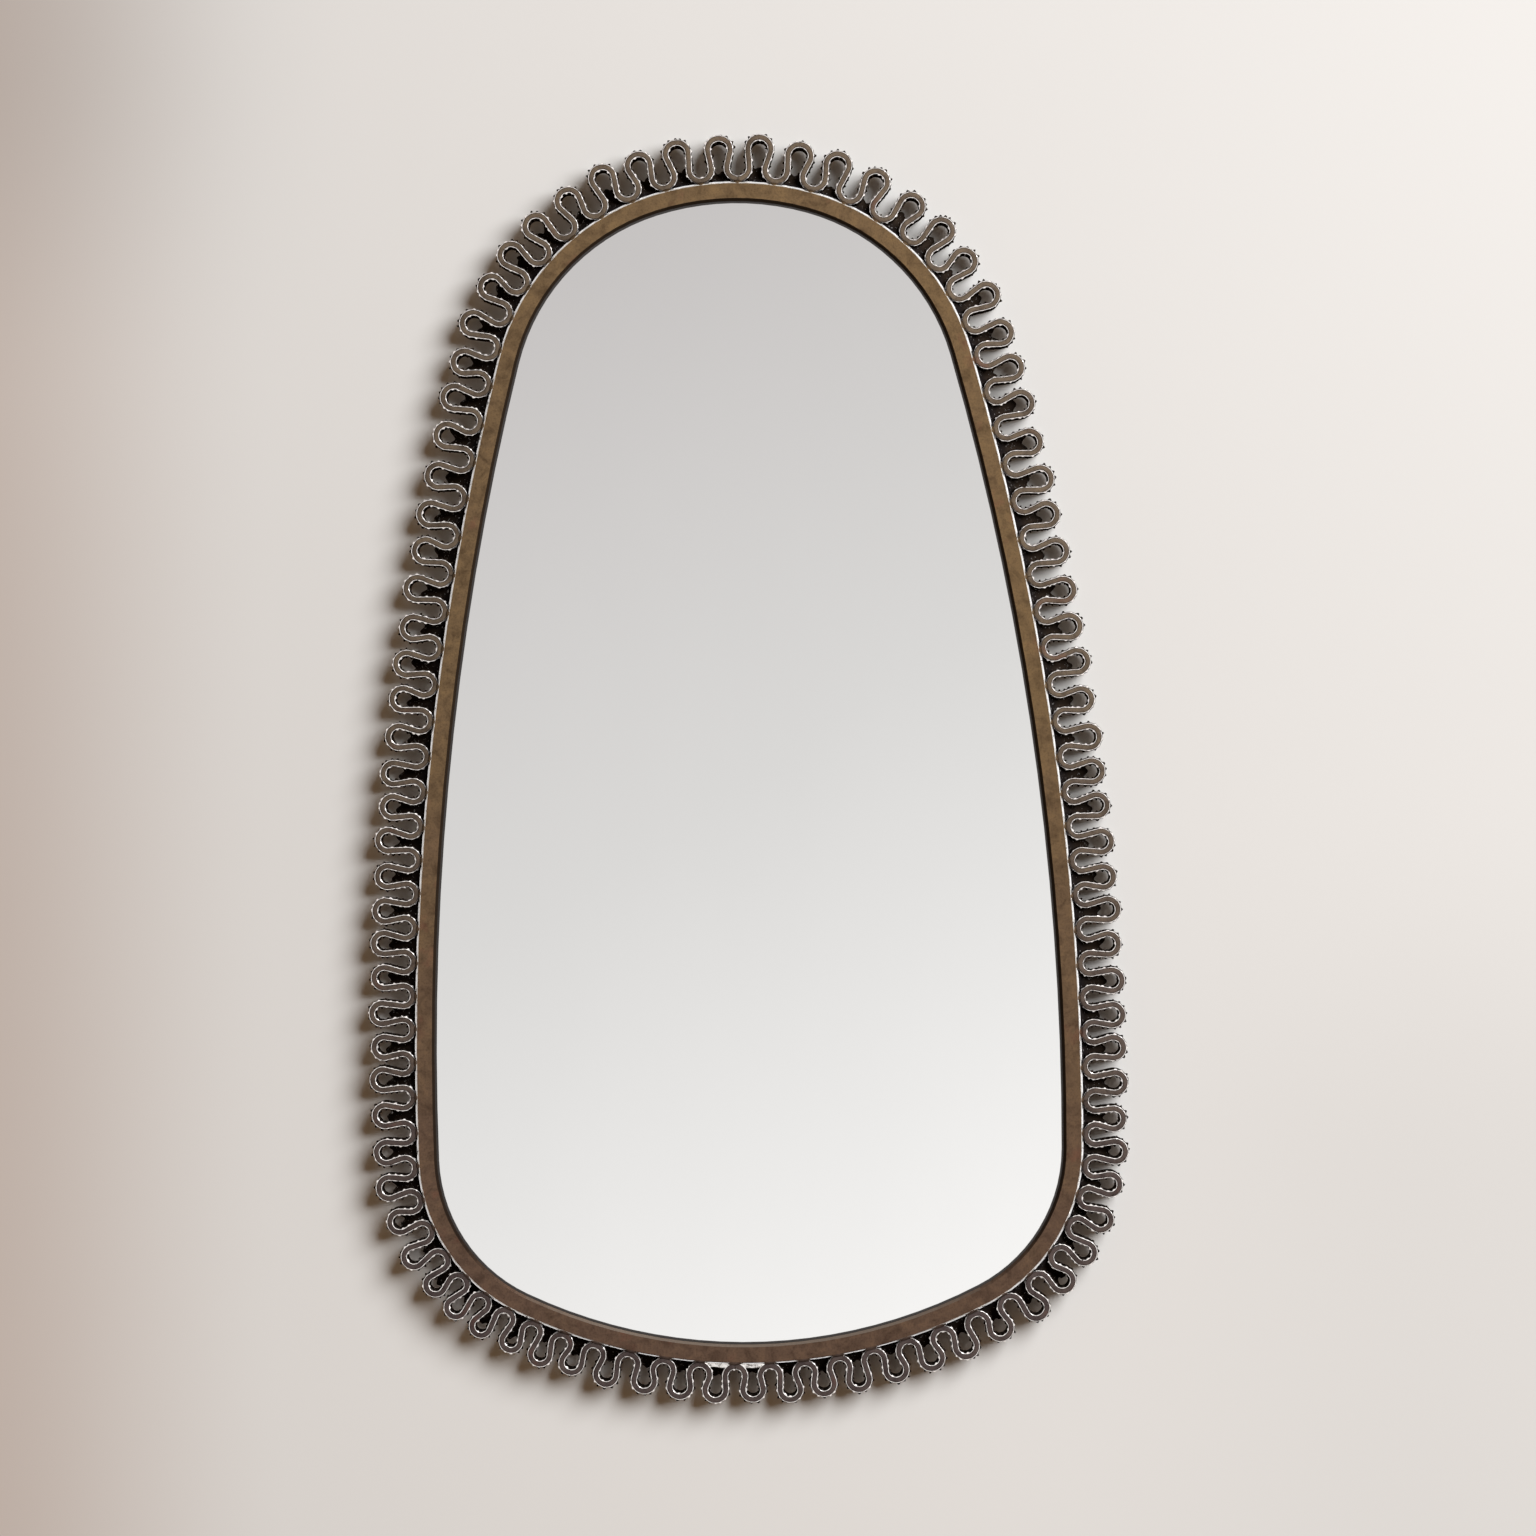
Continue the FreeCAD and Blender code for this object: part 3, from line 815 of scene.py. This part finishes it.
def worn_strip(node, left, right):
    """Length of the looped strip with rubbed corners and burrs, drawn through the sides of its CAD node."""
    draw = random.Random(node.name)
    low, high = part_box(node.name)
    sides = rounded(left, right)
    count = len(sides[0])
    burrs = [burr_reaches(draw, side) for side in sides]
    wears = [[wandering_wear(draw, count) for corner in ("front", "rear")] for side in sides]
    vertices, faces = [], []
    for ring in range(count):
        across = (sides[1][ring] - sides[0][ring]).normalized()
        for side, inward in ((0, across), (1, -across)):
            front_wear, rear_wear = [row[ring] for row in wears[side]]
            profile = front_profile(low.y, front_wear, *[row[ring] for row in burrs[side]])
            profile += rear_profile(high.y, rear_wear)
            for inset, y in profile if side else reversed(profile):
                point = sides[side][ring] + inward * (inset * MM)
                x = min(max(point.x, cad_box[0][0]), cad_box[1][0])
                z = min(max(point.z, cad_box[0][2]), cad_box[1][2])
                vertices.append((x, y, z))
    size = 2 * (len(FRONT_CORNER) + len(REAR_CORNER))
    for row in range(0, len(vertices) - size, size):
        for step in range(size):
            after = (step + 1) % size
            faces.append((row + step, row + after, row + size + after, row + size + step))
    faces.append(tuple(range(size)))
    faces.append(tuple(range(len(vertices) - size, len(vertices))))
    strip = new_piece(node.name.replace("loop", "worn"), vertices, faces, strip_brass)
    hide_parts(node.name)


for name in sorted(strips):
    worn_strip(nodes[name], *strips[name])


# Solder beads under the feet: places along Y, half width and height of a bead's sections, in millimetres
BEAD_SECTIONS = (
    (-14.42, 0.7, 0.0), (-14.2, 1.3, 0.35), (-13.8, 1.8, 0.8), (-13.3, 2.3, 1.15), (-12.8, 2.7, 1.5),
    (-12.4, 3.0, 1.6), (-11.0, 3.2, 1.5), (-5.0, 3.3, 1.6), (1.5, 3.2, 1.5), (2.45, 2.7, 1.2),
)
BEAD_ROOT = -0.7
BEAD_POINTS = 15
BEAD_ROUNDNESS = 0.8
# How beads differ: all of a bead in width, height and place along the rim, and each of its sections
BEAD_SPREAD = (0.85, 1.12)
BEAD_LIFT = (0.85, 1.02)
BEAD_OFFSET = 0.35
BEAD_SECTION_SPREAD = (0.93, 1.07)
BEAD_SECTION_LIFT = (0.94, 1.06)
BASE_SPREAD = 1.5
BEAD_SEED = 11


def solder_beads():
    """One bead at each foot: a fillet down both sides of the strip and a smear up to the rim's edge."""
    draw = random.Random(BEAD_SEED)
    vertices, faces = [], []
    for place, outward in feet:
        along = Vector((outward.z, 0.0, -outward.x))
        first = len(vertices)
        spread, lift = draw.uniform(*BEAD_SPREAD), draw.uniform(*BEAD_LIFT)
        if place.z < BASE_FADE[1]:
            spread *= BASE_SPREAD
        offset = draw.uniform(-BEAD_OFFSET, BEAD_OFFSET)
        for y, half_width, rise in BEAD_SECTIONS:
            half_width *= spread * draw.uniform(*BEAD_SECTION_SPREAD)
            rise *= lift * draw.uniform(*BEAD_SECTION_LIFT)
            for step in range(BEAD_POINTS):
                turn = math.pi * step / (BEAD_POINTS - 1)
                side = -math.cos(turn) * half_width + offset
                out = BEAD_ROOT + math.sin(turn) ** BEAD_ROUNDNESS * (rise - BEAD_ROOT)
                point = place + (along * side + outward * out) * MM
                vertices.append((point.x, y * MM, point.z))
        for section in range(len(BEAD_SECTIONS) - 1):
            row = first + section * BEAD_POINTS
            for step in range(BEAD_POINTS):
                after = (step + 1) % BEAD_POINTS
                faces.append((row + step, row + after, row + BEAD_POINTS + after, row + BEAD_POINTS + step))
        last = first + (len(BEAD_SECTIONS) - 1) * BEAD_POINTS
        faces.append(tuple(reversed(range(first, first + BEAD_POINTS))))
        faces.append(tuple(range(last, last + BEAD_POINTS)))
    new_piece("solder_beads", vertices, faces, brown_solder)


solder_beads()


# Blackened solder between the feet, a dark sheet that also stands in for shade in the pockets: distance out
# from the band and place along Y of its surface near the rim, and the share of its length and place along Y
# beyond, in millimetres
WEB_LIP = ((-0.2, -14.1), (0.0, -13.97), (0.28, -13.7), (0.58, -13.4), (0.7, -12.7), (0.85, -11.0))
WEB_FALL = ((0.12, -9.0), (0.3, -6.5), (0.5, -4.0), (0.7, -2.0), (0.88, -0.3), (1.0, 1.6))
WEB_LIP_ROOT = -12.3
WEB_TAPER = 5.0
WEB_COLUMNS = 13
WEB_OVERLAP = 0.9 * MM
# Its rear, hollow between the strands, and its least thickness
WEB_REAR = 2.42
WEB_REAR_HOLLOW = 4.5
WEB_THICKNESS = 0.35
# Its length, how much longer it is at the right, and at the left where it stands in for the pockets' shade,
# the share of it in the middle of a pocket, and how webs differ: in length, in the lean of their ends and in
# ripples along and across them
WEB_LENGTH = 7.5
WEB_LENGTH_MORE_FOR_SHADE = (7.5, 11.0)
WEB_LENGTH_RANGE = (0.7, 1.3)
WEB_LONGEST = 16.5
WEB_MIDDLE_SHARE = 0.92
WEB_LEAN = 0.15
WEB_END_RIPPLE = 0.08
WEB_END_RIPPLE_TURN = 9.0
WEB_DEPTH_RIPPLE = 0.2
WEB_DEPTH_RIPPLE_TURN = 7.0
WEB_SEED = 29
# Bare solder over the webs of two pockets: the same, and where the pockets lie along X
BARE_LIP = ((-0.2, -14.0), (0.1, -13.8), (0.5, -13.3), (1.0, -12.9))
BARE_FALL = ((0.4, -12.6), (0.8, -12.3), (1.0, -11.4))
BARE_LENGTH = 2.4
BARE_PLACES = (-21.0, -2.0)
BARE_REACH = 6.0 * MM


def strand_place(strand, gap):
    """Point of a strand, followed from its foot, that first lies at a distance from the band."""
    for (before, before_gap), (point, point_gap) in zip(strand, strand[1:]):
        if point_gap >= gap:
            share = (gap - before_gap) / max(point_gap - before_gap, 1e-9)
            return before.lerp(point, min(max(share, 0.0), 1.0))
    return strand[-1][0]


def web_points(draw, pocket, lip, fall, length):
    """Points of a web's front, in rows from the rim outward, and those of its rear behind them."""
    phase = draw.uniform(0.0, 2 * math.pi)
    lean = draw.uniform(-WEB_LEAN, WEB_LEAN)
    front, rear = [], []
    for number, (out, y) in enumerate(lip + fall):
        for column in range(WEB_COLUMNS):
            share = column / (WEB_COLUMNS - 1)
            reach, depth = out, y
            if number < len(lip):
                taper = min(1.0, WEB_TAPER * min(share, 1.0 - share))
                depth = WEB_LIP_ROOT + (y - WEB_LIP_ROOT) * taper
            else:
                creep = WEB_MIDDLE_SHARE + (1.0 - WEB_MIDDLE_SHARE) * (2.0 * share - 1.0) ** 2
                creep += lean * (share - 0.5)
                creep *= 1.0 + WEB_END_RIPPLE * math.sin(phase + WEB_END_RIPPLE_TURN * share)
                reach = lip[-1][0] + out * creep * length
                depth += WEB_DEPTH_RIPPLE * math.sin(phase * number + WEB_DEPTH_RIPPLE_TURN * share)
            gap = max(reach, 0.0) * MM
            near, far = strand_place(pocket, gap), strand_place(pocket[::-1], gap)
            lap = (far - near).normalized() * WEB_OVERLAP
            place, outward, distance = band_place((near - lap).lerp(far + lap, share))
            point = place + outward * (reach * MM)
            front.append((point.x, depth * MM, point.z))
            hollow = WEB_REAR - WEB_REAR_HOLLOW * 4.0 * share * (1.0 - share)
            rear.append((point.x, min(max(hollow, depth + WEB_THICKNESS), WEB_REAR) * MM, point.z))
    return front, rear


def add_web(vertices, faces, front, rear):
    """Adds the closed mesh of one web to lists of vertices and faces."""
    first = len(vertices)
    size = len(front)
    rows = size // WEB_COLUMNS
    vertices.extend(front + rear)
    for row in range(rows - 1):
        for column in range(WEB_COLUMNS - 1):
            corner = first + row * WEB_COLUMNS + column
            quad = (corner, corner + 1, corner + 1 + WEB_COLUMNS, corner + WEB_COLUMNS)
            faces.append(quad)
            faces.append(tuple(index + size for index in reversed(quad)))
    edge = list(range(WEB_COLUMNS))
    edge += [row * WEB_COLUMNS + WEB_COLUMNS - 1 for row in range(1, rows)]
    edge += [size - 2 - column for column in range(WEB_COLUMNS - 1)]
    edge += [row * WEB_COLUMNS for row in range(rows - 2, 0, -1)]
    for start, end in zip(edge, edge[1:] + edge[:1]):
        faces.append((first + end, first + start, first + start + size, first + end + size))


def solder_webs():
    """Blackened solder in each pocket between two feet, also a dark sheet of painted shade in the pockets,
    with a bright seam along the rim's edge, and bare solder in two pockets of the base."""
    draw = random.Random(WEB_SEED)
    black_and_shade, bare = ([], []), ([], [])
    laps = contacts + [contacts[0] + len(walk)]
    for start, finish in zip(laps, laps[1:]):
        pocket = [walk[index % len(walk)] for index in range(start, finish + 1)]
        outward = (band_place(pocket[0][0])[1] + band_place(pocket[-1][0])[1]).normalized()
        # Longer at the left, where the web stands in for the pockets' shade
        more = abs(outward.x) * WEB_LENGTH_MORE_FOR_SHADE[outward.x < 0.0]
        length = min((WEB_LENGTH + more) * draw.uniform(*WEB_LENGTH_RANGE), WEB_LONGEST)
        add_web(*black_and_shade, *web_points(draw, pocket, WEB_LIP, WEB_FALL, length))
        middle = pocket[0][0].lerp(pocket[-1][0], 0.5)
        if middle.z < RIM_CENTRE.z and any(abs(middle.x - x * MM) < BARE_REACH for x in BARE_PLACES):
            add_web(*bare, *web_points(draw, pocket, BARE_LIP, BARE_FALL, BARE_LENGTH))
    new_piece("solder_webs", *black_and_shade, black_solder_and_shade)
    new_piece("bare_solder", *bare, bright_solder)


solder_webs()


def camera_share(g):
    """1 for rays that show the background in the picture, in gloss and through glass, and 0 for light."""
    ray = g.add("LightPath").outputs
    seen = g.plus(ray["Is Camera Ray"], ray["Is Glossy Ray"])
    return g.plus(seen, ray["Is Transmission Ray"], clamp=True)


# Plaster: painted shade from the middle towards the left and how far its edge wanders, painted light towards
# the bottom, and painted shade in two corners
PLASTER_WITH_LEFT_SHADE = ((0.0, (0.62, 0.545, 0.5)), (1.0, (0.8, 0.79, 0.775)))
PLASTER_SHADE_ACROSS = (-0.45, -0.25)
PLASTER_DRIFT = 0.1
PLASTER_PAINTED_LIFT = ((0.0, (1.08, 1.08, 1.08)), (1.0, WHITE))
PLASTER_LIFT_HEIGHTS = (-0.68, -0.1)
UPPER_LEFT_ACROSS = (-0.2, -0.38)
UPPER_LEFT_HEIGHTS = (-0.03, 0.17)
UPPER_LEFT_SHADE = 0.15
LOWER_RIGHT_ACROSS = (0.12, 0.4)
LOWER_RIGHT_HEIGHTS = (-0.25, -0.48)
LOWER_RIGHT_SHADE = 0.075


def pale_plaster():
    """Painted plaster with painted shade towards the left and in two corners and painted light towards the
    bottom, seen from its front only and clear to light.
    """
    material, g = new_material("pale_plaster")
    place = g.object_place()
    x, _, z = g.parts(place)
    cloud = g.noise(place, 3.0, roughness=0.6)
    drift = g.times(g.minus(cloud, NOISE_MIDDLE), PLASTER_DRIFT)
    # Painted shade: darker from the middle towards the left edge
    lit_share = g.plus(g.span(x, *PLASTER_SHADE_ACROSS), drift, clamp=True)
    colour = g.ramp(lit_share, PLASTER_WITH_LEFT_SHADE)
    # Painted light: lighter towards the bottom
    colour = g.tint(colour, g.ramp(g.span(z, *PLASTER_LIFT_HEIGHTS), PLASTER_PAINTED_LIFT))
    # Painted shade in the upper left and lower right corners
    upper_left = g.times(g.span(x, *UPPER_LEFT_ACROSS), g.span(z, *UPPER_LEFT_HEIGHTS))
    lower_right = g.times(g.span(x, *LOWER_RIGHT_ACROSS), g.span(z, *LOWER_RIGHT_HEIGHTS))
    shade = g.blend(upper_left, UPPER_LEFT_SHADE, lower_right, LOWER_RIGHT_SHADE)
    colour = g.mix(shade, colour, BLACK)
    grain = g.bump(g.noise(place, 240.0, detail=5.0, roughness=0.6), strength=0.03, distance=0.4 * MM)
    paint = g.add("BsdfDiffuse", {"Color": colour, "Normal": grain})
    front = g.minus(1.0, g.add("NewGeometry").outputs["Backfacing"])
    shown = g.times(front, camera_share(g))
    clear = g.add("BsdfTransparent")
    both = g.add("MixShader", {0: shown, 1: clear.outputs["BSDF"], 2: paint.outputs["BSDF"]})
    g.add("OutputMaterial", {"Surface": both.outputs["Shader"]})
    return material


def make_wall():
    """Pale plaster wall that shows the mirror's shadow in front and is clear from behind."""
    mesh = bpy.data.meshes.new("wall")
    half = WALL_SIDE / 2
    corners = [
        (FRAME_CENTRE.x + x * half, WALL_PLACE, FRAME_CENTRE.z + z * half)
        for x, z in ((-1, -1), (1, -1), (1, 1), (-1, 1))
    ]
    mesh.from_pydata(corners, [], [(0, 1, 2, 3)])
    mesh.materials.append(pale_plaster())
    wall = bpy.data.objects.new("wall", mesh)
    scene.collection.objects.link(wall)


# World: its light, and the gradient that is seen and reflected, by a slope up and to the left
WORLD_LIGHT = (0.145, 0.09, 0.048)
SKY_UP = 0.85
SKY_RIGHT = 0.52
SKY = (
    (0.3, (0.9, 0.89, 0.88)),
    (0.43, (1.0, 0.995, 0.985)),
    (0.446, (0.985, 0.975, 0.965)),
    (0.5, (0.745, 0.735, 0.725)),
    (0.56, (0.585, 0.56, 0.555)),
    (0.7, (0.6, 0.59, 0.585)),
)
SKY_SIDES = (1.0, 0.985, 0.965)
SKY_SIDES_BEGIN = (0.93, 0.6)


def make_world():
    """Even light, with a soft gradient for the background and for what the glass reflects."""
    world = bpy.data.worlds.new("studio")
    world.use_nodes = True
    scene.world = world
    g = Graph(world.node_tree)
    x, y, z = g.parts(g.add("TexCoord").outputs["Generated"])
    slope = g.minus(g.times(z, SKY_UP), g.times(x, SKY_RIGHT))
    view = g.ramp(g.plus(g.times(slope, 0.5), 0.5, clamp=True), SKY)
    sides = g.span(g.math("ABSOLUTE", y), *SKY_SIDES_BEGIN)
    view = g.mix(sides, view, SKY_SIDES)
    colour = g.mix(camera_share(g), WORLD_LIGHT, view)
    sky = g.add("Background", {"Color": colour, "Strength": 1.0})
    g.add("OutputWorld", {"Surface": sky.outputs["Background"]})


def make_lamp(name, place, side, power, colour):
    """Round lamp, out of the picture, that points at the middle of the frame."""
    data = bpy.data.lights.new(name, "AREA")
    data.shape = "DISK"
    data.size = side
    data.energy = power
    data.color = colour
    lamp = bpy.data.objects.new(name, data)
    lamp.location = place
    lamp.rotation_euler = (FRAME_CENTRE - Vector(place)).to_track_quat("-Z", "Y").to_euler()
    lamp.visible_camera = False
    scene.collection.objects.link(lamp)


def make_camera():
    """Camera square to the wall, turned as the photograph's was against the mirror."""
    data = bpy.data.cameras.new("camera")
    data.sensor_width = SENSOR_WIDTH
    data.lens = SENSOR_WIDTH * CAMERA_DISTANCE / FRAME_WIDTH
    camera = bpy.data.objects.new("camera", data)
    place = Matrix.Translation(FRAME_CENTRE - Vector((0.0, CAMERA_DISTANCE, 0.0)))
    camera.matrix_world = place @ Matrix.Rotation(math.pi / 2, 4, "X") @ Matrix.Rotation(CAMERA_ROLL, 4, "Z")
    scene.collection.objects.link(camera)
    scene.camera = camera


make_wall()
make_world()
make_lamp("key", KEY_PLACE, KEY_SIDE, KEY_POWER, KEY_COLOUR)
make_lamp("rear", REAR_PLACE, REAR_SIDE, REAR_POWER, REAR_COLOUR)
make_camera()
scene.view_settings.view_transform = "Standard"
